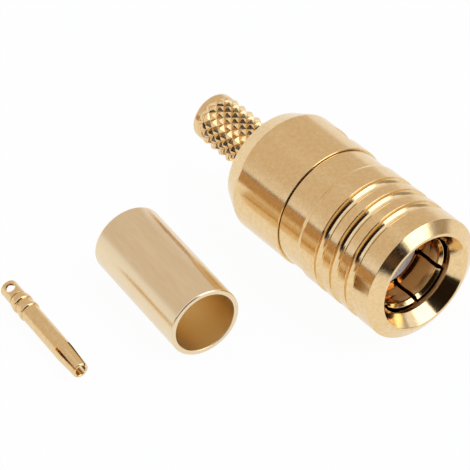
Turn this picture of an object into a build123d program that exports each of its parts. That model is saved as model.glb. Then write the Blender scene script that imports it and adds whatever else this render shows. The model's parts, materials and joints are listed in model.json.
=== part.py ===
from build123d import *
import os
from math import atan2, cos, degrees, hypot, radians, sin, tan

os.makedirs("parts", exist_ok=True)

# A push-on coaxial cable plug, laid out as three loose pieces on one surface:
# the connector body, the crimp ferrule and the centre contact.
# The body's axis is X and its mouth faces +X. The origin is the middle of the
# lip inside the spring fingers, where the mating socket is gripped.

# Outer contact: a slotted spring sleeve
lip_radius = 1.77
lip_length = 0.58
lip_height = 0.03
recess_length = 0.58
shoulder_height = 0.20
finger_wall = 0.13
lead_in_length = 0.24
lead_in_rise = 0.12
slot_count = 6
slot_width = 0.19
slot_length = 3.4
slot_turn = 39.5
sleeve_overlap = 2.8

# Front shell
flex_gap = 0.10
tip_setback = 0.07
mouth_length = 0.87
mouth_rise = 0.43
rim_width = 0.12
rim_bevel = 0.03
front_chamfer_length = 0.37
front_chamfer_rise = 0.595
front_land = 1.045
groove_count = 3
groove_pitch = 1.083
groove_width = 0.59
groove_depth = 0.30
groove_flank_slope = 60
rear_band = 1.074
step_height = 0.095
relief_length = 1.40
seam_gap = 0.10

# Rear body with its crimp stem
spigot_wall = 0.62
spigot_length = 2.40
rear_length = 3.23
rear_cone_length = 1.06
rear_cone_drop = 0.515
back_face_bevel = 0.08
stem_length = 4.50
stem_land_length = 0.55
stem_land_height = 0.11
stem_land_bevel = 0.10
stem_wall = 0.25
stem_bore_radius = 0.85
chamber_radius = 1.30
chamber_end_wall = 0.69
spot_flat_depth = 0.13
spot_flat_length = 1.10
spot_flat_setback = 1.00
spot_flat_turn = 36.5

# Knurl on the stem: staggered rows of raised diamonds with sharp grooves between
knurl_count = 14
knurl_pitch = 0.564
knurl_height = 0.16
knurl_root = 0.03
knurl_crest_share = 0.15

# Insulator
insulator_setback = 0.05
insulator_clearance = 0.05

# Centre contact
contact_radius = 0.46
contact_clearance = 0.03
contact_length = 6.72
barrel_radius = 0.44
barrel_length = 0.93
neck_width = 0.07
neck_depth = 0.06
collar_radius = 0.52
rear_collar_length = 0.45
front_collar_length = 0.37
collar_spacing = 0.24
collar_bevel = 0.05
taper_length = 1.37
tip_radius = 0.385
wire_bore_radius = 0.32
wire_bore_depth = 0.95
inspection_hole_radius = 0.24
inspection_hole_setback = 0.44
inspection_hole_turn = -70.5
socket_radius = 0.25
socket_depth = 2.20
tine_slot_length = 1.64
tine_slot_root = 0.15
tine_slot_tip = 0.08
tine_slot_turn = -39.5

# Crimp ferrule
ferrule_wall = 0.25
ferrule_bore_radius = 1.55
ferrule_length = 6.93
ferrule_bevel = 0.04

# Where the loose pieces lie, seen from above: the ferrule's front end, the
# contact's tip, and each one's turn away from the connector's direction
ferrule_front_x = -3.866
ferrule_front_y = -8.589
ferrule_turn = -6.95
contact_tip_x = -5.976
contact_tip_y = -14.155
contact_turn = -7.08

# Radii that follow from the walls, from the axis outwards
recess_radius = lip_radius + lip_height
seat_radius = recess_radius - shoulder_height
finger_radius = recess_radius + finger_wall
shell_bore_radius = finger_radius + flex_gap
rim_inner_radius = shell_bore_radius + mouth_rise
rim_outer_radius = rim_inner_radius + rim_width
body_radius = rim_outer_radius + front_chamfer_rise
relief_radius = body_radius - step_height
spigot_radius = finger_radius + spigot_wall
back_face_radius = body_radius - rear_cone_drop
stem_radius = stem_bore_radius + stem_wall
stem_land_radius = stem_radius + stem_land_height

# Places along X
lip_front_x = lip_length / 2
finger_tip_x = lip_front_x + lead_in_length
shell_bore_edge_x = finger_tip_x + tip_setback
rim_x = shell_bore_edge_x + mouth_length
chamfer_x = rim_x - front_chamfer_length
last_groove_x = chamfer_x - front_land - groove_width / 2
first_groove_x = last_groove_x - (groove_count - 1) * groove_pitch
step_x = first_groove_x - groove_width / 2 - rear_band
relief_x = step_x - step_height
shell_rear_x = relief_x - relief_length
seam_x = shell_rear_x - seam_gap
spigot_x = seam_x + spigot_length
cone_x = seam_x - rear_length
back_face_x = cone_x - rear_cone_length
stem_rear_x = back_face_x - stem_length
stem_land_x = stem_rear_x + stem_land_length
chamber_x = back_face_x + chamber_end_wall
shoulder_x = -lip_length / 2 - recess_length
insulator_front_x = shoulder_x - insulator_setback
slot_root_x = finger_tip_x - slot_length
sleeve_rear_x = spigot_x - sleeve_overlap
floor_z = -body_radius


def lying_plane(front_x, front_y, radius, turn):
    """Upright plane through the axis of a piece that lies on the floor, with X towards its front."""
    a = radians(turn)
    origin = (front_x, front_y, floor_z + radius)
    return Plane(origin=origin, x_dir=(cos(a), sin(a), 0), z_dir=(sin(a), -cos(a), 0))


# Sizes that differ by less than this are the same
same = 1e-6


def rings(radius):
    """Circular edges of the piece in hand with this radius, from the rear to the front."""
    circles = edges().filter_by(GeomType.CIRCLE)
    return circles.filter_by(lambda e: abs(e.radius - radius) < same).sort_by(Axis.X)


# Knurl rows, from the stem's rear land to the back face, half a diamond apart
knurl_steps = round(2 * (back_face_x - stem_land_x) / knurl_pitch)
knurl_half_length = (back_face_x - stem_land_x) / knurl_steps
knurl_half_angle = 180 / knurl_count

# One diamond, standing on +Z. Its four flanks lie in planes that meet the next
# diamonds' flanks in straight grooves, and its foot is sunk into the round core.
core_radius = stem_radius - knurl_root
crest_z = stem_radius + knurl_height
apex_z = (crest_z - knurl_crest_share * stem_radius) / (1 - knurl_crest_share)
foot_z = stem_radius - 3 * knurl_root
side_corner_y = stem_radius * sin(radians(knurl_half_angle))
side_corner_z = stem_radius * cos(radians(knurl_half_angle))
foot_half_length = knurl_half_length * (apex_z - foot_z) / (apex_z - stem_radius)
foot_half_width = side_corner_y * (apex_z - foot_z) / (apex_z - side_corner_z)
foot_inradius = foot_half_length * foot_half_width / hypot(foot_half_length, foot_half_width)
with BuildPart() as knurl_diamond:
    with BuildSketch(Plane.XY.offset(foot_z)):
        Polygon(
            (foot_half_length, 0),
            (0, foot_half_width),
            (-foot_half_length, 0),
            (0, -foot_half_width),
        )
    extrude(amount=crest_z - foot_z, taper=degrees(atan2(foot_inradius, apex_z - foot_z)))

# Rear body: shoulder, knurled crimp stem, and the spigot that carries the shell
with BuildPart() as rear_body:
    with BuildSketch(Plane.XZ):
        with BuildLine():
            Polyline(
                (stem_rear_x, stem_bore_radius),
                (stem_rear_x, stem_land_radius),
                (stem_land_x, stem_land_radius),
                (stem_land_x, core_radius),
                (back_face_x, core_radius),
                (back_face_x, back_face_radius),
                (cone_x, body_radius),
                (seam_x, body_radius),
                (seam_x, spigot_radius),
                (spigot_x, spigot_radius),
                (spigot_x, finger_radius),
                (sleeve_rear_x, finger_radius),
                (sleeve_rear_x, chamber_radius),
                (chamber_x, chamber_radius),
                (chamber_x, stem_bore_radius),
                close=True,
            )
        make_face()
    revolve(axis=Axis.X)
    chamfer(rings(back_face_radius)[0], back_face_bevel)
    chamfer(rings(stem_land_radius)[0], stem_land_bevel)

    # A small flat on the shoulder, a little behind the seam
    flat_direction = (0, cos(radians(spot_flat_turn)), sin(radians(spot_flat_turn)))
    flat_centre_x = seam_x - spot_flat_setback - spot_flat_length / 2
    flat_plane = Plane(origin=(flat_centre_x, 0, 0), x_dir=(1, 0, 0), z_dir=flat_direction)
    with BuildSketch(flat_plane.offset(body_radius - spot_flat_depth)):
        Rectangle(spot_flat_length, 2 * body_radius)
    extrude(amount=body_radius, mode=Mode.SUBTRACT)

    # Knurl: every second row is turned by half a diamond
    for row in range(1, knurl_steps):
        row_x = stem_land_x + row * knurl_half_length
        turns = [knurl_half_angle * (2 * place + row % 2) for place in range(knurl_count)]
        with Locations(*[Location((row_x, 0, 0), (turn, 0, 0)) for turn in turns]):
            add(knurl_diamond.part)
rear_body.part.label = "rear_body"
export_step(rear_body.part, "parts/rear_body.step")

# Front shell: sits on the spigot, with grip grooves outside and a conical mouth.
# A groove has two straight flanks that run into a round bottom.
flank_slope = radians(groove_flank_slope)
flank_meeting = groove_width / 2 * tan(flank_slope)
groove_bottom_radius = (flank_meeting - groove_depth) / (1 / cos(flank_slope) - 1)
with BuildPart() as front_shell:
    with BuildSketch(Plane.XZ):
        with BuildLine():
            Polyline(
                (shell_rear_x, spigot_radius),
                (shell_rear_x, relief_radius),
                (relief_x, relief_radius),
                (step_x, body_radius),
                (chamfer_x, body_radius),
                (rim_x, rim_outer_radius),
                (rim_x, rim_inner_radius),
                (shell_bore_edge_x, shell_bore_radius),
                (spigot_x, shell_bore_radius),
                (spigot_x, spigot_radius),
                close=True,
            )
        make_face()
        for groove in range(groove_count):
            with Locations((first_groove_x + groove * groove_pitch, body_radius)):
                Polygon(
                    (-groove_width / 2, 0),
                    (0, -flank_meeting),
                    (groove_width / 2, 0),
                    align=None,
                    mode=Mode.SUBTRACT,
                )
        groove_roots = vertices().filter_by(lambda v: abs(v.Y - body_radius + flank_meeting) < same)
        fillet(groove_roots, groove_bottom_radius)
    revolve(axis=Axis.X)
    chamfer(rings(rim_outer_radius) + rings(rim_inner_radius), rim_bevel)
front_shell.part.label = "front_shell"
export_step(front_shell.part, "parts/front_shell.step")

# Outer contact: a sleeve slotted into spring fingers, with a lip inside their tips
# and a shoulder behind it that the mating socket comes to rest on
with BuildPart() as outer_contact:
    with BuildSketch(Plane.XZ):
        with BuildLine():
            Polyline(
                (sleeve_rear_x, seat_radius),
                (sleeve_rear_x, finger_radius),
                (finger_tip_x, finger_radius),
                (finger_tip_x, lip_radius + lead_in_rise),
                (lip_front_x, lip_radius),
                (-lip_length / 2, lip_radius),
                (-lip_length / 2, recess_radius),
                (shoulder_x, recess_radius),
                (shoulder_x, seat_radius),
                close=True,
            )
        make_face()
    revolve(axis=Axis.X)
    with BuildSketch(Plane.YZ.offset(finger_tip_x)):
        with PolarLocations(recess_radius, slot_count, start_angle=slot_turn):
            Rectangle(2 * lip_radius, slot_width)
    extrude(amount=-slot_length, mode=Mode.SUBTRACT)
outer_contact.part.label = "outer_contact"
export_step(outer_contact.part, "parts/outer_contact.step")

# Insulator: fills the sleeve up to its shoulder, and is bored for the centre contact
with BuildPart() as insulator:
    with BuildSketch(Plane.XZ):
        with BuildLine():
            Polyline(
                (sleeve_rear_x, contact_radius + contact_clearance),
                (sleeve_rear_x, seat_radius),
                (slot_root_x, seat_radius),
                (slot_root_x, seat_radius - insulator_clearance),
                (insulator_front_x, seat_radius - insulator_clearance),
                (insulator_front_x, contact_radius + contact_clearance),
                close=True,
            )
        make_face()
    revolve(axis=Axis.X)
insulator.part.label = "insulator"
export_step(insulator.part, "parts/insulator.step")

# Centre contact: wire barrel, two collars, and a socket slotted into four tines
contact_plane = lying_plane(contact_tip_x, contact_tip_y, collar_radius, contact_turn)
contact_axis = Axis(contact_plane.origin, contact_plane.x_dir)
barrel_x = barrel_length - contact_length
rear_collar_x = barrel_x + neck_width
groove_between_x = rear_collar_x + rear_collar_length
front_collar_x = groove_between_x + collar_spacing
body_x = front_collar_x + front_collar_length
neck_radius = barrel_radius - neck_depth
with BuildPart() as centre_contact:
    with BuildSketch(contact_plane):
        with BuildLine():
            Polyline(
                (-contact_length, wire_bore_radius),
                (-contact_length, barrel_radius),
                (barrel_x, barrel_radius),
                (barrel_x, neck_radius),
                (rear_collar_x, neck_radius),
                (rear_collar_x, collar_radius),
                (groove_between_x, collar_radius),
                (groove_between_x, barrel_radius),
                (front_collar_x, barrel_radius),
                (front_collar_x, collar_radius),
                (body_x, collar_radius),
                (body_x, contact_radius),
                (-taper_length, contact_radius),
                (0, tip_radius),
                (0, socket_radius),
                (-socket_depth, socket_radius),
                (-socket_depth, 0),
                (wire_bore_depth - contact_length, 0),
                (wire_bore_depth - contact_length, wire_bore_radius),
                close=True,
            )
        make_face()
    revolve(axis=contact_axis)

    chamfer(rings(collar_radius), collar_bevel)

    # Inspection hole through one wall of the wire barrel
    hole_plane = contact_plane.rotated((inspection_hole_turn, 0, 0))
    with BuildSketch(hole_plane):
        with Locations((inspection_hole_setback - contact_length, 0)):
            Circle(inspection_hole_radius)
    extrude(amount=2 * barrel_radius, mode=Mode.SUBTRACT)

    # Two crossed slots, squeezed nearly shut at the tip
    for quarter in range(2):
        with BuildSketch(contact_plane.rotated((tine_slot_turn + 90 * quarter, 0, 0))):
            Polygon(
                (-tine_slot_length, tine_slot_root / 2),
                (-tine_slot_length, -tine_slot_root / 2),
                (0, -tine_slot_tip / 2),
                (0, tine_slot_tip / 2),
                align=None,
            )
        extrude(amount=2 * contact_radius, both=True, mode=Mode.SUBTRACT)
centre_contact.part.label = "centre_contact"
export_step(centre_contact.part, "parts/centre_contact.step")

# Crimp ferrule: a plain tube that is crimped over the braid on the knurled stem
ferrule_radius = ferrule_bore_radius + ferrule_wall
ferrule_plane = lying_plane(ferrule_front_x, ferrule_front_y, ferrule_radius, ferrule_turn)
with BuildPart() as crimp_ferrule:
    with BuildSketch(ferrule_plane):
        with Locations((-ferrule_length / 2, ferrule_bore_radius + ferrule_wall / 2)):
            Rectangle(ferrule_length, ferrule_wall)
    revolve(axis=Axis(ferrule_plane.origin, ferrule_plane.x_dir))
    chamfer(edges().filter_by(GeomType.CIRCLE), ferrule_bevel)
crimp_ferrule.part.label = "crimp_ferrule"
export_step(crimp_ferrule.part, "parts/crimp_ferrule.step")
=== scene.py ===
# %% [markdown]
# # A push-on coaxial plug, laid out in three pieces
# A turned and gold-plated plug body lies on a white table, with the loose crimp
# ferrule and the loose centre contact beside it. Nearly all of it was made on a
# lathe, so nearly all of it can be made here by drawing half an outline and
# spinning it. What the lathe didn't make is added after: the spring fingers,
# the knurl on the stem, the small flat on the shoulder, the contact's hole and slots.

# %% Load the frame
import json
from math import cos, pi, radians, sin

import bmesh
import bpy
from mathutils import Matrix, Vector

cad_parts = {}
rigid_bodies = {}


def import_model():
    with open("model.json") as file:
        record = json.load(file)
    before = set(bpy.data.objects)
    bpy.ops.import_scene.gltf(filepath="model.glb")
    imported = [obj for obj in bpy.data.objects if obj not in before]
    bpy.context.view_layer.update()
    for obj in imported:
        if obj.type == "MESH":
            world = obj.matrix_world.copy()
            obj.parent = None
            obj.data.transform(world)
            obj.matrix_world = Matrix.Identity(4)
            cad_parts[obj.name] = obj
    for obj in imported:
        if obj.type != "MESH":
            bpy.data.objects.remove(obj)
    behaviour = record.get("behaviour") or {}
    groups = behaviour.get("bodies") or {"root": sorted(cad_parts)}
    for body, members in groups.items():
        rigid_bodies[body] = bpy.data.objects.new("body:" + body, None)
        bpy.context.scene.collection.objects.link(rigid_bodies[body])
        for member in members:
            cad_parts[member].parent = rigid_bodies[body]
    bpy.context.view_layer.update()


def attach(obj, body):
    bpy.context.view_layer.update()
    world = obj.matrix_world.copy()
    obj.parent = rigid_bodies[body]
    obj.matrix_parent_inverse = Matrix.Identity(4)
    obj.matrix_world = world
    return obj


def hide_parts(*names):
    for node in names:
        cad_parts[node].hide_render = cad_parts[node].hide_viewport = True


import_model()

# %% [markdown]
# ## Sizes
# All the modelling below is done in millimetres with the turning axis along X,
# because that is how such a part is drawn. Each mesh is scaled to metres once,
# when it is finished. The table top lies one body radius under the axis.

# %% Sizes that several pieces share
MM = 0.001
BODY_R = 3.175
FLOOR_Z = -BODY_R
FINGER_R = 1.93
SEAT_R = 1.60
SPIGOT_R = 2.55
SPIGOT_FRONT_X = -2.97
SEAM_X = -5.37
SLEEVE_REAR_X = -5.77
SLOT_ROOT_X = -2.87
print("table top at", FLOOR_Z, "mm")

# %% [markdown]
# ## Outlines
# A turned piece is its outline spun round the axis. The outline is drawn as one
# flat face, because bevel can round the corners of a face. Every machined edge
# is a little broken, and those tiny rounds catch the light that makes metal
# read as metal. Short extra edges are then put in beside each corner: they hold
# the shading of the long flats straight, so that the reflections don't swim.

# %% Draw an outline and round its corners
ROUND_STEPS = 4
ARC_STEPS = 16
HOLD_GAP = 0.012
SHORTEST_HELD = 6 * HOLD_GAP


def outline(corners):
    """Corners are (x, r) or (x, r, cut). ("arc", x, r, degrees) swings on round (x, r)."""
    bm = bmesh.new()
    loop, cuts = [], {}
    for corner in corners:
        if corner[0] == "arc":
            _, x, r, swing = corner
            for _ in range(ARC_STEPS):
                made = bmesh.ops.spin(
                    bm, geom=[loop[-1]], cent=(x, 0, r), axis=(0, 1, 0), dvec=(0, 0, 0),
                    angle=radians(swing / ARC_STEPS), steps=1, use_merge=False,
                )
                loop.append([g for g in made["geom_last"] if isinstance(g, bmesh.types.BMVert)][0])
        else:
            loop.append(bm.verts.new((corner[0], 0, corner[1])))
            if len(corner) > 2:
                cuts.setdefault(corner[2], []).append(loop[-1])
    bm.faces.new(loop)
    for cut, points in cuts.items():
        bmesh.ops.bevel(
            bm, geom=points, offset=cut, offset_type="OFFSET", affect="VERTICES",
            segments=ROUND_STEPS, profile=0.5, material=-1,
        )
    return bm


def hold_flats(bm):
    """Splits each long edge close to both its ends."""
    for edge in list(bm.edges):
        start, end = edge.verts
        length = edge.calc_length()
        if length < SHORTEST_HELD:
            continue
        other, _ = bmesh.utils.edge_split(edge, start, HOLD_GAP / length)
        rest = edge if end in edge.verts else other
        bmesh.utils.edge_split(rest, end, HOLD_GAP / rest.calc_length())


# %% Spin an outline
TURN_STEPS = 240
ON_PLANE = 1e-6
SAME_POINT = 1e-5


def turned(corners, steps=TURN_STEPS, angle=360):
    """A closed turned solid, or an open sector of one, round the X axis."""
    bm = outline(corners)
    hold_flats(bm)
    bmesh.ops.delete(bm, geom=bm.faces[:], context="FACES_ONLY")
    on_axis = [e for e in bm.edges if all(v.co.z < ON_PLANE for v in e.verts)]
    bmesh.ops.delete(bm, geom=on_axis, context="EDGES")
    bmesh.ops.spin(
        bm, geom=bm.verts[:] + bm.edges[:], cent=(0, 0, 0), axis=(1, 0, 0), dvec=(0, 0, 0),
        angle=radians(angle), steps=steps, use_merge=angle == 360,
    )
    bmesh.ops.remove_doubles(bm, verts=bm.verts[:], dist=SAME_POINT)
    bmesh.ops.recalc_face_normals(bm, faces=bm.faces[:])
    return bm


# %% Finish a piece
def new_object(name, bm):
    """An object in the scene, made from a bmesh that isn't needed after."""
    mesh = bpy.data.meshes.new(name)
    bm.to_mesh(mesh)
    bm.free()
    made = bpy.data.objects.new(name, mesh)
    bpy.context.scene.collection.objects.link(made)
    return made


def finished(name, bm, material, node, place=None, sharp=32):
    """Places the mesh, scales it to metres and hands the piece to the frame."""
    if place is not None:
        bm.transform(place)
    bmesh.ops.scale(bm, vec=(MM, MM, MM), verts=bm.verts[:])
    for face in bm.faces:
        face.smooth = True
    piece = new_object(name, bm)
    piece.data.set_sharp_from_angle(angle=radians(sharp))
    piece.data.materials.append(material)
    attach(piece, "root")
    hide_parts(node)
    print(name, len(piece.data.polygons), "faces")


def lying(front, radius, turn):
    """The place on the table of a loose piece whose front end is at zero on its own X axis."""
    to_front = Matrix.Translation((front[0], front[1], FLOOR_Z + radius))
    return to_front @ Matrix.Rotation(radians(turn), 4, "Z")


# %% [markdown]
# ## Gold plate
# The plating is real metal, so its colour sits in the reflection. It is bright
# but not a mirror. Under it the lathe left very fine rings, and the plating bath
# a faint mottle. Rings depend on the distance along and from the axis only, so
# the noise reads those two numbers. Each piece has its own axis, and a Mapping
# node carries the Object coordinates onto it. Deep inside a bore the colour can
# be given a browner tint: on the shell and the fingers that is painted shade.

# %% Node helpers
def node_maker(tree):
    """A function that adds a node, sets its inputs and links what is given as a socket."""
    def make(kind, inputs=None, **settings):
        made = tree.nodes.new(kind)
        for key, value in settings.items():
            setattr(made, key, value)
        for key, value in (inputs or {}).items():
            if isinstance(value, bpy.types.NodeSocket):
                tree.links.new(value, made.inputs[key])
            else:
                made.inputs[key].default_value = value
        return made
    return make


def new_material(name):
    """A material with nothing but its output and one Principled shader."""
    material = bpy.data.materials.new(name)
    material.use_nodes = True
    tree = material.node_tree
    tree.nodes.clear()
    make = node_maker(tree)
    shader = make("ShaderNodeBsdfPrincipled")
    output = make("ShaderNodeOutputMaterial")
    tree.links.new(shader.outputs["BSDF"], output.inputs["Surface"])
    return material, make, shader


# %% Coordinates on a turned piece
def axis_coordinates(make, place):
    """The place in millimetres of a piece's own axis, and (along, outwards, 0) for its rings."""
    inverse = place.inverted() if place is not None else Matrix()
    turn, shift = inverse.to_euler(), inverse.to_translation()
    coordinates = make("ShaderNodeTexCoord")
    local = make("ShaderNodeMapping", {
        "Vector": coordinates.outputs["Object"], "Location": shift, "Rotation": turn,
        "Scale": (1 / MM, 1 / MM, 1 / MM),
    })
    parts = make("ShaderNodeSeparateXYZ", {"Vector": local.outputs["Vector"]})
    across = make("ShaderNodeCombineXYZ", {"Y": parts.outputs["Y"], "Z": parts.outputs["Z"]})
    out = make("ShaderNodeVectorMath", {0: across.outputs["Vector"]}, operation="LENGTH")
    rings = make("ShaderNodeCombineXYZ", {"X": parts.outputs["X"], "Y": out.outputs["Value"]})
    return local.outputs["Vector"], rings.outputs["Vector"]


# %% Gold
TINT_FADE = 0.25
RING_DEPTH = 0.0004
PEEL_DEPTH = 0.002
MOTTLE_SPREAD = (0.8, 1.1, 2.0)


def tinted_bore(make, rings, gold, colour, most_x, most_r):
    """Gold with another colour inside of a bore that ends at most_x and reaches out to most_r."""
    where = make("ShaderNodeSeparateXYZ", {"Vector": rings})
    deep = make("ShaderNodeMapRange", {
        "Value": where.outputs["X"], "From Min": most_x - TINT_FADE, "From Max": most_x,
        "To Min": 1.0, "To Max": 0.0,
    })
    near = make("ShaderNodeMath", {0: where.outputs["Y"], 1: most_r}, operation="LESS_THAN")
    both = make("ShaderNodeMath", {
        0: deep.outputs["Result"], 1: near.outputs["Value"],
    }, operation="MULTIPLY")
    return make("ShaderNodeMix", {
        "Factor": both.outputs["Value"], "A": gold, "B": (*colour, 1),
    }, data_type="RGBA").outputs["Result"]


def gold_plate(name, colour, roughness, place=None, mottle=0.12, bore=None):
    """Gold plating over turned metal. A bore's painted shade is given as its colour, largest x and
    largest r.
    """
    material, make, shader = new_material(name)
    links = material.node_tree.links
    spot, rings = axis_coordinates(make, place)
    cloud = make("ShaderNodeTexNoise", {
        "Vector": spot, "Scale": 5.0, "Detail": 8.0, "Roughness": 0.8,
    })
    patch = make("ShaderNodeMapRange", {
        "Value": cloud.outputs["Fac"], "From Min": 0.32, "From Max": 0.68,
    })
    darker = [c * (1 - mottle * k) for c, k in zip(colour, MOTTLE_SPREAD)]
    lighter = [min(c * (1 + mottle * k), 1.0) for c, k in zip(colour, MOTTLE_SPREAD)]
    tint = make("ShaderNodeMix", {
        "Factor": patch.outputs["Result"], "A": (*darker, 1), "B": (*lighter, 1),
    }, data_type="RGBA")
    gold = tint.outputs["Result"]
    if bore is not None:
        gold = tinted_bore(make, rings, gold, *bore)
    links.new(gold, shader.inputs["Base Color"])
    shader.inputs["Metallic"].default_value = 1.0
    grain = make("ShaderNodeTexNoise", {"Vector": spot, "Scale": 9.0, "Detail": 3.0})
    haze = make("ShaderNodeMapRange", {
        "Value": grain.outputs["Fac"], "From Min": 0.3, "From Max": 0.7,
        "To Min": roughness * 0.8, "To Max": roughness * 1.25,
    })
    links.new(haze.outputs["Result"], shader.inputs["Roughness"])
    lathe = make("ShaderNodeTexNoise", {"Vector": rings, "Scale": 22.0, "Detail": 2.0})
    ripple = make("ShaderNodeBump", {
        "Height": lathe.outputs["Fac"], "Strength": 1.0, "Distance": RING_DEPTH * MM,
    })
    orange_peel = make("ShaderNodeBump", {
        "Height": cloud.outputs["Fac"], "Strength": 1.0, "Distance": PEEL_DEPTH * MM,
        "Normal": ripple.outputs["Normal"],
    })
    links.new(orange_peel.outputs["Normal"], shader.inputs["Normal"])
    return material


GOLD = (0.84, 0.615, 0.325)
KNURL_GOLD = (0.82, 0.58, 0.29)
# The shell's bore is painted dark brown deep in the mouth: painted shade.
SHELL_BORE_SHADE = ((0.34, 0.17, 0.06), 0.88, 2.06)
# The fingers are painted orange deep in the mouth: painted shade and painted reflection of gold in
# gold.
FINGER_BORE_SHADE = ((0.68, 0.37, 0.12), 0.26, 2.0)
gold_body = gold_plate("gold_on_the_body", GOLD, 0.13)
gold_shell = gold_plate("gold_on_the_shell_with_painted_shade", GOLD, 0.13, bore=SHELL_BORE_SHADE)
gold_knurl = gold_plate("gold_on_the_knurl", KNURL_GOLD, 0.13, mottle=0.05)
gold_fingers = gold_plate("gold_on_the_fingers_with_painted_shade", GOLD, 0.12, bore=FINGER_BORE_SHADE)
print("gold:", GOLD)

# %% [markdown]
# ## Rear body
# The back half of the plug: a round shoulder with a conical back, the slim stem
# that the cable's braid is crimped on, and inside the spigot that holds the
# front shell. It is one bar turned to a profile, so it is one spun outline. The
# stem is left slim where the knurl goes, because the knurl is a sleeve of its own.

# %% Rear body
BACK_FACE_X = -9.66
BACK_FACE_R = 2.66
CONE_X = -8.60
STEM_END_X = -14.16
STEM_CORE_R = 1.04
KNURL_REAR_X = -13.80
LAND_R = 1.21
CABLE_R = 0.85
CHAMBER_R = 1.30
CHAMBER_REAR_X = -8.97

rear_bm = turned([
    (STEM_END_X, CABLE_R, 0.03),
    (STEM_END_X, LAND_R, 0.11),
    (KNURL_REAR_X, LAND_R),
    (KNURL_REAR_X, STEM_CORE_R),
    (BACK_FACE_X, STEM_CORE_R),
    (BACK_FACE_X, BACK_FACE_R, 0.075),
    (CONE_X, BODY_R, 0.09),
    (SEAM_X, BODY_R, 0.025),
    (SEAM_X, SPIGOT_R),
    (SPIGOT_FRONT_X, SPIGOT_R),
    (SPIGOT_FRONT_X, FINGER_R),
    (SLEEVE_REAR_X, FINGER_R),
    (SLEEVE_REAR_X, CHAMBER_R),
    (CHAMBER_REAR_X, CHAMBER_R),
    (CHAMBER_REAR_X, CABLE_R),
])
print("rear body:", len(rear_bm.verts), "points")

# %% [markdown]
# ## The small flat
# A little behind the seam the shoulder has one short flat with square ends. On
# the real part it is milled after turning. Cutting it off with one plane would
# leave long thin faces. So rings are cut in at both ends of the flat and at its
# middle, with one more just outside of each end, and the points between the
# ends are pressed down onto the plane of the flat.

# %% Press the small flat into the shoulder
FLAT_TURN = 36.5
FLAT_X = -6.92
FLAT_LENGTH = 1.10
FLAT_DEPTH = 0.13
FLAT_RIM = 0.008
SKIN = 0.02
NEARLY = 1e-4
flat_way = Vector((0, cos(radians(FLAT_TURN)), sin(radians(FLAT_TURN))))
flat_rear, flat_front = FLAT_X - FLAT_LENGTH / 2, FLAT_X + FLAT_LENGTH / 2
for x in (flat_rear - FLAT_RIM, flat_rear, FLAT_X, flat_front, flat_front + FLAT_RIM):
    shoulder = [f for f in rear_bm.faces if f.calc_center_median().yz.length > BODY_R - SKIN]
    around = {e for f in shoulder for e in f.edges} | {v for f in shoulder for v in f.verts}
    bmesh.ops.bisect_plane(
        rear_bm, geom=shoulder + list(around), plane_co=(x, 0, 0), plane_no=(1, 0, 0),
        dist=ON_PLANE,
    )
pressed = 0
for point in rear_bm.verts:
    height = point.co.dot(flat_way)
    within = flat_rear - NEARLY < point.co.x < flat_front + NEARLY
    if within and height > BODY_R - FLAT_DEPTH:
        point.co -= flat_way * (height - BODY_R + FLAT_DEPTH)
        pressed += 1
print("points pressed into the flat:", pressed)
finished("rear_body", rear_bm, gold_body, "rear_body")

# %% [markdown]
# ## Knurl
# Fourteen diamonds stand round the stem, and every second row is turned by half
# a diamond, as two crossed sets of rolled grooves leave them. Their sides are
# nearly flat, so each side mirrors one part of the room: a patch of them goes
# dark together where they face the camera. The knurl is made as the roll would
# lie flat: one diamond is drawn, raised and copied into a sheet, the sheet is
# trimmed, and then rolled up round the stem. At the rear it fades out, as where
# the knurling wheel lifts.

# %% One raised diamond
KNURL_COUNT = 14
KNURL_PITCH = 0.564
KNURL_TOP_R = 1.26
KNURL_VALLEY_R = 1.117
KNURL_FADE = 0.42
KNURL_FRONT_X = BACK_FACE_X + 0.02
KNURL_INNER_R = STEM_CORE_R - 0.03
CREST_SHARE = 0.18
SPARE_ROWS = 3
half_wide = pi / KNURL_COUNT
half_long = KNURL_PITCH / 2


def diamond():
    """One diamond flat on XY: X along the stem, Y the angle round it, Z its height, 0 to 1."""
    bm = bmesh.new()
    bmesh.ops.create_circle(bm, cap_ends=True, segments=4, radius=1.0)
    bmesh.ops.scale(bm, vec=(half_long, half_wide, 1), verts=bm.verts[:])
    raised = bmesh.ops.extrude_discrete_faces(bm, faces=bm.faces[:])["faces"]
    top = list({v for f in raised for v in f.verts})
    bmesh.ops.scale(bm, vec=(CREST_SHARE, CREST_SHARE, 1), verts=top)
    bmesh.ops.translate(bm, vec=(0, 0, 1), verts=top)
    bmesh.ops.subdivide_edges(bm, edges=bm.edges[:], cuts=2, use_grid_fill=True)
    return bm


one_diamond = diamond()
print("faces in one diamond:", len(one_diamond.faces))

# %% Copy it into a sheet
knurl_bm = bmesh.new()
diamond_mesh = bpy.data.meshes.new("one_diamond")
one_diamond.to_mesh(diamond_mesh)
one_diamond.free()
first_row_x = KNURL_REAR_X - half_long
rows = int((BACK_FACE_X - first_row_x) / half_long) + SPARE_ROWS
for row in range(rows):
    for place_round in range(KNURL_COUNT):
        before = len(knurl_bm.verts)
        knurl_bm.from_mesh(diamond_mesh)
        knurl_bm.verts.ensure_lookup_table()
        angle = (2 * place_round + row % 2) * half_wide
        bmesh.ops.translate(
            knurl_bm, vec=(first_row_x + row * half_long, angle, 0),
            verts=knurl_bm.verts[before:],
        )
bmesh.ops.remove_doubles(knurl_bm, verts=knurl_bm.verts[:], dist=NEARLY)
for x, outwards in ((KNURL_REAR_X, -1), (KNURL_FRONT_X, 1)):
    bmesh.ops.bisect_plane(
        knurl_bm, geom=knurl_bm.verts[:] + knurl_bm.edges[:] + knurl_bm.faces[:],
        plane_co=(x, 0, 0), plane_no=(outwards, 0, 0), clear_outer=True, dist=ON_PLANE,
    )
print("rows:", rows, "sheet faces:", len(knurl_bm.faces))

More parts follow.
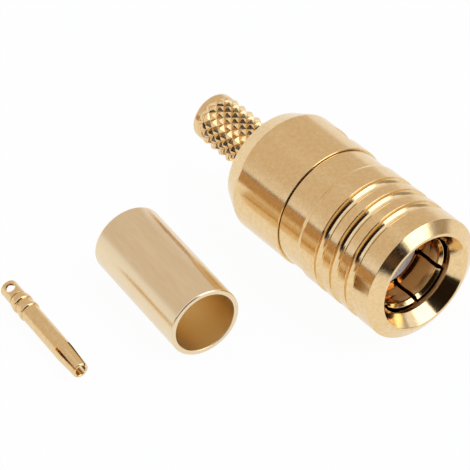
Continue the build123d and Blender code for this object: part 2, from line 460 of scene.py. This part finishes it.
# %% Roll the sheet up and close it inwards
for point in knurl_bm.verts:
    x, angle, height = point.co
    grown = min(max((x - KNURL_REAR_X) / KNURL_FADE, 0), 1)
    valley = LAND_R + (KNURL_VALLEY_R - LAND_R) * grown
    r = valley + (LAND_R + (KNURL_TOP_R - LAND_R) * grown - valley) * height
    point.co = (x, r * sin(angle), r * cos(angle))
bmesh.ops.remove_doubles(knurl_bm, verts=knurl_bm.verts[:], dist=NEARLY)
rims = []
for end_x in (KNURL_REAR_X, KNURL_FRONT_X):
    rim = [
        e for e in knurl_bm.edges
        if e.is_boundary and all(abs(v.co.x - end_x) < NEARLY for v in e.verts)
    ]
    inner = bmesh.ops.extrude_edge_only(knurl_bm, edges=rim)["geom"]
    for point in (g for g in inner if isinstance(g, bmesh.types.BMVert)):
        scale = KNURL_INNER_R / point.co.yz.length
        point.co.y *= scale
        point.co.z *= scale
    rims.append([g for g in inner if isinstance(g, bmesh.types.BMEdge)])
bmesh.ops.bridge_loops(knurl_bm, edges=rims[0] + rims[1])
bmesh.ops.recalc_face_normals(knurl_bm, faces=knurl_bm.faces[:])
print("open edges on the knurl:", sum(e.is_boundary for e in knurl_bm.edges))
finished("stem_knurl", knurl_bm, gold_knurl, "rear_body", sharp=20)

# %% [markdown]
# ## Front shell
# The shell is the part one holds. Three round-bottomed grooves give grip, a
# small step marks where it meets the shoulder, and its mouth opens in a bright
# cone that leads the mating socket in. A groove is half a circle deep, and is
# made by swinging one point of the outline round the groove's centre.

# %% Front shell
SHELL_REAR_X = -5.34
RELIEF_R = 3.08
RELIEF_X = -3.91
STEP_X = -3.775
GROOVE_R = 0.295
GROOVE_CENTRES = (-2.406, -1.323, -0.24)
CHAMFER_X = 1.10
RIM_X = 1.47
RIM_OUTER_R = 2.58
RIM_INNER_R = 2.46
INNER_CONE_X = 0.80
SHELL_BORE_R = 2.03
shell_corners = [
    (SHELL_REAR_X, SPIGOT_R),
    (SHELL_REAR_X, RELIEF_R, 0.02),
    (RELIEF_X, RELIEF_R, 0.06),
    (STEP_X, BODY_R, 0.06),
]
for groove_x in GROOVE_CENTRES:
    shell_corners += [
        (groove_x - GROOVE_R, BODY_R, 0.02),
        ("arc", groove_x, BODY_R, -180),
    ]
shell_corners += [
    (CHAMFER_X, BODY_R, 0.012),
    (RIM_X, RIM_OUTER_R, 0.03),
    (RIM_X, RIM_INNER_R, 0.03),
    (INNER_CONE_X, SHELL_BORE_R, 0.02),
    (SPIGOT_FRONT_X, SHELL_BORE_R),
    (SPIGOT_FRONT_X, SPIGOT_R),
]
shell_bm = turned(shell_corners)
finished("front_shell", shell_bm, gold_shell, "front_shell")

# %% [markdown]
# ## Spring fingers
# The outer contact is a thin sleeve, sawn into six fingers that grip the mating
# socket with a small lip. One finger is a sixth of a turn of the outline. Its
# two sides are then cut parallel to the saw cut, closed, and their edges
# broken, before it is copied round. A boolean would also cut the slots, but it
# leaves the edges sharp and hard to round.

# %% One finger
SLOT_COUNT = 6
SLOT_WIDTH = 0.19
SLOT_TURN = 39.5
FINGER_STEPS = 40
FINGER_TIP_X = 0.53
LEAD_IN_R = 1.910
LIP_R = 1.772
LIP_FRONT_X = 0.31
LIP_REAR_X = -0.10
SLEEVE_R = 1.80
SLEEVE_X = -0.29
STOP_X = -0.87
sector = 360 / SLOT_COUNT
finger_bm = turned([
    (SLOT_ROOT_X, FINGER_R),
    (FINGER_TIP_X, FINGER_R, 0.010),
    (FINGER_TIP_X, LEAD_IN_R, 0.006),
    (LIP_FRONT_X, LIP_R, 0.05),
    (LIP_REAR_X, LIP_R, 0.10),
    (SLEEVE_X, SLEEVE_R),
    (STOP_X, SLEEVE_R),
    (STOP_X, SEAT_R, 0.02),
    (SLOT_ROOT_X, SEAT_R),
], steps=FINGER_STEPS, angle=sector)
for side in (0, 1):
    edge_angle = radians(sector * side)
    along = Vector((0, -sin(edge_angle), cos(edge_angle)))
    across = along.cross(Vector((1, 0, 0))) * (-1 if side else 1)
    inner = across * (-SLOT_WIDTH / 2)
    cut = bmesh.ops.bisect_plane(
        finger_bm, geom=finger_bm.verts[:] + finger_bm.edges[:] + finger_bm.faces[:],
        plane_co=inner, plane_no=across, clear_outer=True, dist=ON_PLANE,
    )
    rim = [g for g in cut["geom_cut"] if isinstance(g, bmesh.types.BMEdge)]
    cap = bmesh.ops.contextual_create(finger_bm, geom=rim)["faces"]
    print("finger side", side, "cut edges", len(rim), "caps", len(cap))
print(
    "finger faces:", len(finger_bm.faces),
    "open edges:", sum(e.is_boundary for e in finger_bm.edges),
)

# %% Break its edges, copy it round and add the ring behind the slots
MOST_CORNERS_BUT_CAPS = 8
FINGER_CUT = 0.012
side_edges = [
    e for e in finger_bm.edges
    if len(e.link_faces) == 2
    and any(len(f.verts) > MOST_CORNERS_BUT_CAPS for f in e.link_faces)
]
bmesh.ops.bevel(
    finger_bm, geom=side_edges, offset=FINGER_CUT, offset_type="OFFSET", affect="EDGES",
    segments=2, profile=0.5, material=-1,
)
bmesh.ops.recalc_face_normals(finger_bm, faces=finger_bm.faces[:])
finger_bm.transform(Matrix.Rotation(radians(SLOT_TURN - 90), 4, "X"))
finger_mesh = bpy.data.meshes.new("one_finger")
finger_bm.to_mesh(finger_mesh)
finger_bm.free()
contact_bm = turned([
    (SLEEVE_REAR_X, SEAT_R),
    (SLEEVE_REAR_X, FINGER_R),
    (SLOT_ROOT_X, FINGER_R),
    (SLOT_ROOT_X, SEAT_R),
])
for finger in range(SLOT_COUNT):
    before = len(contact_bm.verts)
    contact_bm.from_mesh(finger_mesh)
    contact_bm.verts.ensure_lookup_table()
    bmesh.ops.rotate(
        contact_bm, cent=(0, 0, 0), matrix=Matrix.Rotation(radians(sector * finger), 3, "X"),
        verts=contact_bm.verts[before:],
    )
finished("spring_fingers", contact_bm, gold_fingers, "outer_contact")

# %% [markdown]
# ## Insulator
# A white fluoroplastic core fills the sleeve behind the fingers. Its front face
# is just behind the shoulder that the mating socket rests on, and its hole is
# what the centre contact is pushed into. It is turned too, so its faces carry
# fine rings, but the plastic is matt, a little waxy, and lets some light in.

# %% Fluoroplastic
def fluoroplastic(name):
    """White, matt and slightly waxy."""
    material, make, shader = new_material(name)
    links = material.node_tree.links
    spot, rings = axis_coordinates(make, None)
    cloud = make("ShaderNodeTexNoise", {"Vector": spot, "Scale": 2.0, "Detail": 3.0})
    tint = make("ShaderNodeMix", {
        "Factor": cloud.outputs["Fac"], "A": (0.84, 0.78, 0.74, 1), "B": (0.89, 0.83, 0.79, 1),
    }, data_type="RGBA")
    links.new(tint.outputs["Result"], shader.inputs["Base Color"])
    shader.inputs["Roughness"].default_value = 0.48
    shader.inputs["IOR"].default_value = 1.38
    shader.inputs["Subsurface Weight"].default_value = 0.15
    shader.inputs["Subsurface Scale"].default_value = 0.3 * MM
    shader.inputs["Subsurface Radius"].default_value = (1.0, 0.9, 0.85)
    lathe = make("ShaderNodeTexNoise", {"Vector": rings, "Scale": 12.0, "Detail": 2.0})
    ripple = make("ShaderNodeBump", {
        "Height": lathe.outputs["Fac"], "Strength": 1.0, "Distance": 0.003 * MM,
    })
    links.new(ripple.outputs["Normal"], shader.inputs["Normal"])
    return material


# %% Insulator
CORE_FRONT_X = -0.92
CORE_NOSE_R = 1.55
CORE_HOLE_R = 0.49
white_core = fluoroplastic("white_fluoroplastic")
insulator_bm = turned([
    (SLEEVE_REAR_X, CORE_HOLE_R),
    (SLEEVE_REAR_X, SEAT_R),
    (SLOT_ROOT_X, SEAT_R),
    (SLOT_ROOT_X, CORE_NOSE_R),
    (CORE_FRONT_X, CORE_NOSE_R, 0.04),
    (CORE_FRONT_X, CORE_HOLE_R, 0.04),
])
finished("insulator", insulator_bm, white_core, "insulator")

# %% [markdown]
# ## Crimp ferrule
# The loose ferrule is a plain drawn tube. Its ends are cut and tumbled, so they
# are rounder than the plug's edges, and its surface is duller than the plug's,
# with faint marks along its length from drawing. Its bore is browner and duller
# still. It lies on the table a little turned against the plug.

# %% Drawn gold
FERRULE_R = 1.80
FERRULE_BORE_R = 1.55
FERRULE_LENGTH = 6.93
STREAK_DARKER = (0.92, 0.90, 0.84)
STREAK_LIGHTER = (1.06, 1.08, 1.16)
BORE_ROUGHNESS = 0.42


def drawn_gold(name, colour, bore_colour, roughness, place):
    """Gold plating over a drawn tube, with its marks along the axis."""
    material, make, shader = new_material(name)
    links = material.node_tree.links
    spot, rings = axis_coordinates(make, place)
    streak_space = make("ShaderNodeMapping", {"Vector": spot, "Scale": (0.35, 2.2, 2.2)})
    streaks = make("ShaderNodeTexNoise", {
        "Vector": streak_space.outputs["Vector"], "Scale": 2.0, "Detail": 5.0, "Roughness": 0.6,
    })
    tint = make("ShaderNodeMix", {
        "Factor": streaks.outputs["Fac"],
        "A": (*(c * k for c, k in zip(colour, STREAK_DARKER)), 1),
        "B": (*(c * k for c, k in zip(colour, STREAK_LIGHTER)), 1),
    }, data_type="RGBA")
    gold = tinted_bore(
        make, rings, tint.outputs["Result"], bore_colour, 0.1, FERRULE_BORE_R + 0.02,
    )
    links.new(gold, shader.inputs["Base Color"])
    shader.inputs["Metallic"].default_value = 1.0
    haze = make("ShaderNodeMapRange", {
        "Value": streaks.outputs["Fac"], "From Min": 0.3, "From Max": 0.7,
        "To Min": roughness * 0.85, "To Max": roughness * 1.2,
    })
    outwards = make("ShaderNodeSeparateXYZ", {"Vector": rings}).outputs["Y"]
    dull = make("ShaderNodeMapRange", {
        "Value": outwards, "From Min": FERRULE_BORE_R + 0.01, "From Max": FERRULE_BORE_R + 0.05,
        "To Min": BORE_ROUGHNESS, "To Max": haze.outputs["Result"],
    })
    links.new(dull.outputs["Result"], shader.inputs["Roughness"])
    marks = make("ShaderNodeBump", {
        "Height": streaks.outputs["Fac"], "Strength": 1.0, "Distance": 0.003 * MM,
    })
    links.new(marks.outputs["Normal"], shader.inputs["Normal"])
    return material


# %% Crimp ferrule
FERRULE_FRONT = (-3.866, -8.589)
FERRULE_TURN = -6.95
FERRULE_GOLD = (0.86, 0.70, 0.46)
FERRULE_BORE_GOLD = (0.92, 0.71, 0.385)
ferrule_place = lying(FERRULE_FRONT, FERRULE_R, FERRULE_TURN)
gold_ferrule = drawn_gold(
    "gold_on_the_ferrule", FERRULE_GOLD, FERRULE_BORE_GOLD, 0.2, ferrule_place,
)
ferrule_bm = turned([
    (-FERRULE_LENGTH, FERRULE_BORE_R, 0.05),
    (-FERRULE_LENGTH, FERRULE_R, 0.07),
    (0, FERRULE_R, 0.07),
    (0, FERRULE_BORE_R, 0.05),
])
finished(
    "crimp_ferrule", ferrule_bm, gold_ferrule, "crimp_ferrule",
    ferrule_place,
)

# %% [markdown]
# ## Centre contact
# The contact is the smallest piece: a wire barrel with an inspection hole, two
# collars that hold it in the insulator, and a socket whose end is sawn into
# four tines and squeezed a little shut. That closes the slots towards the tip,
# so each slot is cut as a wedge, widest at its square root. Here the boolean is
# the right tool, because hole and slots cut through thin round walls at odd
# angles.

# %% Turn the contact
CONTACT_FRONT = (-5.976, -14.155)
CONTACT_TURN = -7.08
CONTACT_LENGTH = 6.72
CONTACT_STEPS = 160
COLLAR_R = 0.52
CONTACT_R = 0.46
BARREL_R = 0.44
NECK_R = 0.38
WIRE_R = 0.32
SOCKET_R = 0.25
TIP_R = 0.385
TAPER_X = -1.37
SOCKET_END_X = -2.20
contact_place = lying(CONTACT_FRONT, COLLAR_R, CONTACT_TURN)
gold_contact = gold_plate("gold_on_the_contact", (0.83, 0.61, 0.32), 0.16, contact_place)
barrel_x = 0.93 - CONTACT_LENGTH
wire_end_x = 0.95 - CONTACT_LENGTH
pin_bm = turned([
    (-CONTACT_LENGTH, WIRE_R, 0.03),
    (-CONTACT_LENGTH, BARREL_R, 0.04),
    (barrel_x, BARREL_R, 0.02),
    (barrel_x, NECK_R),
    (barrel_x + 0.07, NECK_R),
    (barrel_x + 0.07, 0.47, 0.03),
    (barrel_x + 0.30, COLLAR_R, 0.12),
    (barrel_x + 0.52, COLLAR_R, 0.08),
    (barrel_x + 0.52, BARREL_R),
    (barrel_x + 0.76, BARREL_R),
    (barrel_x + 0.76, 0.48, 0.03),
    (barrel_x + 0.94, COLLAR_R, 0.10),
    (barrel_x + 1.13, COLLAR_R, 0.07),
    (barrel_x + 1.13, CONTACT_R),
    (TAPER_X, CONTACT_R, 0.15),
    (0, TIP_R, 0.05),
    (0, SOCKET_R, 0.04),
    (SOCKET_END_X, SOCKET_R),
    (SOCKET_END_X, 0),
    (wire_end_x, 0),
    (wire_end_x, WIRE_R),
], steps=CONTACT_STEPS)
print(
    "contact points:", len(pin_bm.verts),
    "open edges:", sum(e.is_boundary for e in pin_bm.edges),
)

# %% Make the cutters
def cutter(name, bm):
    """An object that only cuts, and is taken out after."""
    bmesh.ops.recalc_face_normals(bm, faces=bm.faces[:])
    return new_object(name, bm)


HOLE_R = 0.24
HOLE_X = 0.44 - CONTACT_LENGTH
HOLE_TURN = 19.5
HOLE_REACH = 0.9
hole_bm = bmesh.new()
bmesh.ops.create_cone(
    hole_bm, cap_ends=True, segments=48, radius1=HOLE_R, radius2=HOLE_R, depth=HOLE_REACH,
)
bmesh.ops.translate(hole_bm, vec=(HOLE_X, 0, HOLE_REACH / 2), verts=hole_bm.verts[:])
hole_bm.transform(Matrix.Rotation(radians(HOLE_TURN), 4, "X"))
hole_cutter = cutter("hole_cutter", hole_bm)

SLOT_LENGTH = 1.64
SLOT_PAST_TIP = 0.2
SLOT_ROOT_WIDE = 0.15
SLOT_END_WIDE = 0.05
SLOT_ACROSS = 1.2
TINE_TURN = -39.5
slot_bm = bmesh.new()
for quarter in range(2):
    made = bmesh.ops.create_cube(slot_bm, size=1.0)["verts"]
    for point in made:
        past_tip = point.co.x > 0
        point.co.x = SLOT_PAST_TIP if past_tip else -SLOT_LENGTH
        point.co.y *= SLOT_END_WIDE if past_tip else SLOT_ROOT_WIDE
        point.co.z *= SLOT_ACROSS
    bmesh.ops.rotate(
        slot_bm, cent=(0, 0, 0), verts=made,
        matrix=Matrix.Rotation(radians(TINE_TURN + 90 * quarter), 3, "X"),
    )
slot_cutter = cutter("slot_cutter", slot_bm)
print("cutters ready")

# %% Cut the contact
blank = new_object("contact_blank", pin_bm)
for tool in (hole_cutter, slot_cutter):
    cut = blank.modifiers.new(tool.name, "BOOLEAN")
    cut.operation = "DIFFERENCE"
    cut.solver = "EXACT"
    cut.use_self = tool is slot_cutter
    cut.object = tool
bpy.context.view_layer.update()
evaluated = blank.evaluated_get(bpy.context.evaluated_depsgraph_get())
cut_bm = bmesh.new()
cut_bm.from_mesh(bpy.data.meshes.new_from_object(evaluated))
bmesh.ops.remove_doubles(cut_bm, verts=cut_bm.verts[:], dist=SAME_POINT)
for spare in (blank, hole_cutter, slot_cutter):
    bpy.data.objects.remove(spare)
finished(
    "centre_contact", cut_bm, gold_contact, "centre_contact",
    contact_place,
)

# %% [markdown]
# ## Table and light
# Polished gold shows little of itself and mostly what stands round it, so the
# studio is half of the material. The table is a white disc, and beyond its edge
# the lower half of the room is as pale. Above are pale walls, one large soft
# lamp, and the dark round of the camera and its hood. All of them are drawn in
# the world by direction, and only the camera's own rays see plain white instead.

# %% Table
TABLE_R = 26
TABLE_CENTRE = (-0.006, -0.005)
TABLE_GAP = 0.00001
SEEN_GLOW = 0.96
MIRRORED_GLOW = 0.85
table_bm = bmesh.new()
bmesh.ops.create_circle(table_bm, cap_ends=True, segments=96, radius=TABLE_R * MM)
bmesh.ops.translate(
    table_bm, vec=(*TABLE_CENTRE, FLOOR_Z * MM - TABLE_GAP), verts=table_bm.verts[:],
)
table = new_object("table", table_bm)

table_paint = bpy.data.materials.new("white_table")
table_paint.use_nodes = True
tree = table_paint.node_tree
tree.nodes.clear()
make = node_maker(tree)
paint = make("ShaderNodeBsdfDiffuse", {"Color": (0.88, 0.88, 0.88, 1)})
glow = make("ShaderNodeEmission", {"Color": (1, 1, 1, 1), "Strength": 1.0})
ray = make("ShaderNodeLightPath")
seen_directly = make("ShaderNodeMath", {
    0: ray.outputs["Is Camera Ray"], 1: SEEN_GLOW,
}, operation="MULTIPLY")
share = make("ShaderNodeMath", {
    0: ray.outputs["Is Glossy Ray"], 1: MIRRORED_GLOW, 2: seen_directly.outputs["Value"],
}, operation="MULTIPLY_ADD")
blend = make("ShaderNodeMixShader", {"Fac": share.outputs["Value"]})
tree.links.new(paint.outputs["BSDF"], blend.inputs[1])
tree.links.new(glow.outputs["Emission"], blend.inputs[2])
make("ShaderNodeOutputMaterial", {"Surface": blend.outputs["Shader"]})
table.data.materials.append(table_paint)
print("table radius:", TABLE_R, "mm")

# %% Studio round the table
def way(azimuth, elevation):
    """A direction, with azimuth turning from +X to +Y."""
    a, e = radians(azimuth), radians(elevation)
    return (cos(a) * cos(e), sin(a) * cos(e), sin(e))


world = bpy.data.worlds.new("studio")
bpy.context.scene.world = world
world.use_nodes = True
tree = world.node_tree
tree.nodes.clear()
make = node_maker(tree)
seen = make("ShaderNodeTexCoord").outputs["Generated"]


def past(direction, limit, soft):
    """Rises from 0 to 1 where what is seen lies further than limit degrees to a direction."""
    along = make("ShaderNodeVectorMath", {0: seen, 1: direction}, operation="DOT_PRODUCT")
    edge = make("ShaderNodeMapRange", {
        "Value": along.outputs["Value"],
        "From Min": sin(radians(limit - soft)), "From Max": sin(radians(limit + soft)),
    })
    return edge.outputs["Result"]


def inside_of(borders):
    """1 inside of all the borders."""
    inside = borders[0]
    for border in borders[1:]:
        inside = make("ShaderNodeMath", {
            0: inside, 1: border,
        }, operation="MULTIPLY").outputs["Value"]
    return inside


def panel(left, right, low, high, soft):
    """1 on an upright panel between two azimuths and two elevations, 0 round it."""
    return inside_of((
        past(way(left + 90, 0), 0, soft), past(way(right - 90, 0), 0, soft),
        past((0, 0, 1), low, soft), past((0, 0, -1), -high, soft),
    ))


def sheet(corners, soft):
    """1 on a sheet between corners (azimuth, elevation), clockwise as the plug sees them."""
    ends = [Vector(way(*corner)) for corner in corners]
    return inside_of([
        past(tuple(b.cross(a).normalized()), 0, soft) for a, b in zip(ends, ends[1:] + ends[:1])
    ])


def painted(under, patch, colour):
    """A colour laid over what is there where the patch is 1."""
    return make("ShaderNodeMix", {
        "Factor": patch, "A": under, "B": (*colour, 1),
    }, data_type="RGBA").outputs["Result"]


# %% Paint the studio, from the ceiling to what hangs nearest
CEILING = (1.02, 1.07, 1.2, 1)
PALE_FLOOR = (0.95, 0.95, 0.97)
WALL_FOOT = 7
LAMP = ((10, 9.5), (-14, 75), (45, 72.5), (73, 51), (35, 9.5))
CAMERA_HOOD = (
    (287, 3), (284, 28), (290, 50), (304, 66), (346, 76), (9.5, 9.5), (9, -6), (340, -6),
)
BROWN_SIDE = ((338, 4), (342, 24), (355, 42), (6, 32), (352, 2))

ceiling = make("ShaderNodeRGB").outputs["Color"]
ceiling.default_value = CEILING
studio = painted(ceiling, past((0, 0, -1), -WALL_FOOT, 1.5), PALE_FLOOR)
for patch, colour in (
    (panel(234, 310, WALL_FOOT, 66, 3), (0.94, 0.99, 1.15)),
    (panel(90, 150, WALL_FOOT, 58, 9), (0.84, 0.80, 0.80)),
    (panel(124, 233, WALL_FOOT, 58, 3), (0.726, 0.637, 0.557)),
    (panel(41, 84, 4, 24, 3.5), (0.40, 0.35, 0.30)),
    (panel(38, 74, -4, 7, 3), (0.42, 0.36, 0.30)),
    (sheet(LAMP, 1.2), (2.4, 2.5, 2.7)),
    (sheet(CAMERA_HOOD, 1.5), (0.014, 0.008, 0.005)),
    (sheet(BROWN_SIDE, 3), (0.20, 0.12, 0.07)),
    (panel(252, 292, 7.5, 16.5, 1.2), (0.03, 0.02, 0.015)),
    (panel(227, 258, 6.4, 9.0, 0.6), (0.10, 0.07, 0.05)),
    (panel(229, 288, -9, 7.0, 1.0), (0.50, 0.30, 0.13)),
):
    studio = painted(studio, patch, colour)
ray = make("ShaderNodeLightPath")
around = make("ShaderNodeBackground", {"Color": studio, "Strength": 1.0})
plain = make("ShaderNodeBackground", {"Color": (1, 1, 1, 1), "Strength": 1.0})
choice = make("ShaderNodeMixShader", {"Fac": ray.outputs["Is Camera Ray"]})
tree.links.new(around.outputs["Background"], choice.inputs[1])
tree.links.new(plain.outputs["Background"], choice.inputs[2])
make("ShaderNodeOutputWorld", {"Surface": choice.outputs["Shader"]})
print("studio nodes:", len(tree.nodes))

# %% [markdown]
# ## Camera
# The photograph was taken from far away with a long lens: parallel edges stay
# nearly parallel. It looks down at about forty degrees on the mouth's side.

# %% Camera
CAMERA_AIM = (-6.583, -4.681, 0.0)
CAMERA_WAY = (0.593, -0.475, 0.650)
CAMERA_DISTANCE = 185.08
CAMERA_LENS = 306.4
SENSOR_WIDTH = 36.0
camera_data = bpy.data.cameras.new("camera")
camera_data.sensor_width = SENSOR_WIDTH
camera_data.lens = CAMERA_LENS
camera = bpy.data.objects.new("camera", camera_data)
bpy.context.scene.collection.objects.link(camera)
aim = Vector(CAMERA_AIM) * MM
back = Vector(CAMERA_WAY).normalized()
camera.location = aim + back * CAMERA_DISTANCE * MM
camera.rotation_mode = "QUATERNION"
camera.rotation_quaternion = (-back).to_track_quat("-Z", "Y")
camera_data.clip_start = 0.01
camera_data.clip_end = 10.0
bpy.context.scene.camera = camera
bpy.context.scene.view_settings.view_transform = "Standard"
print("camera at", [round(c * 1000, 1) for c in camera.location])
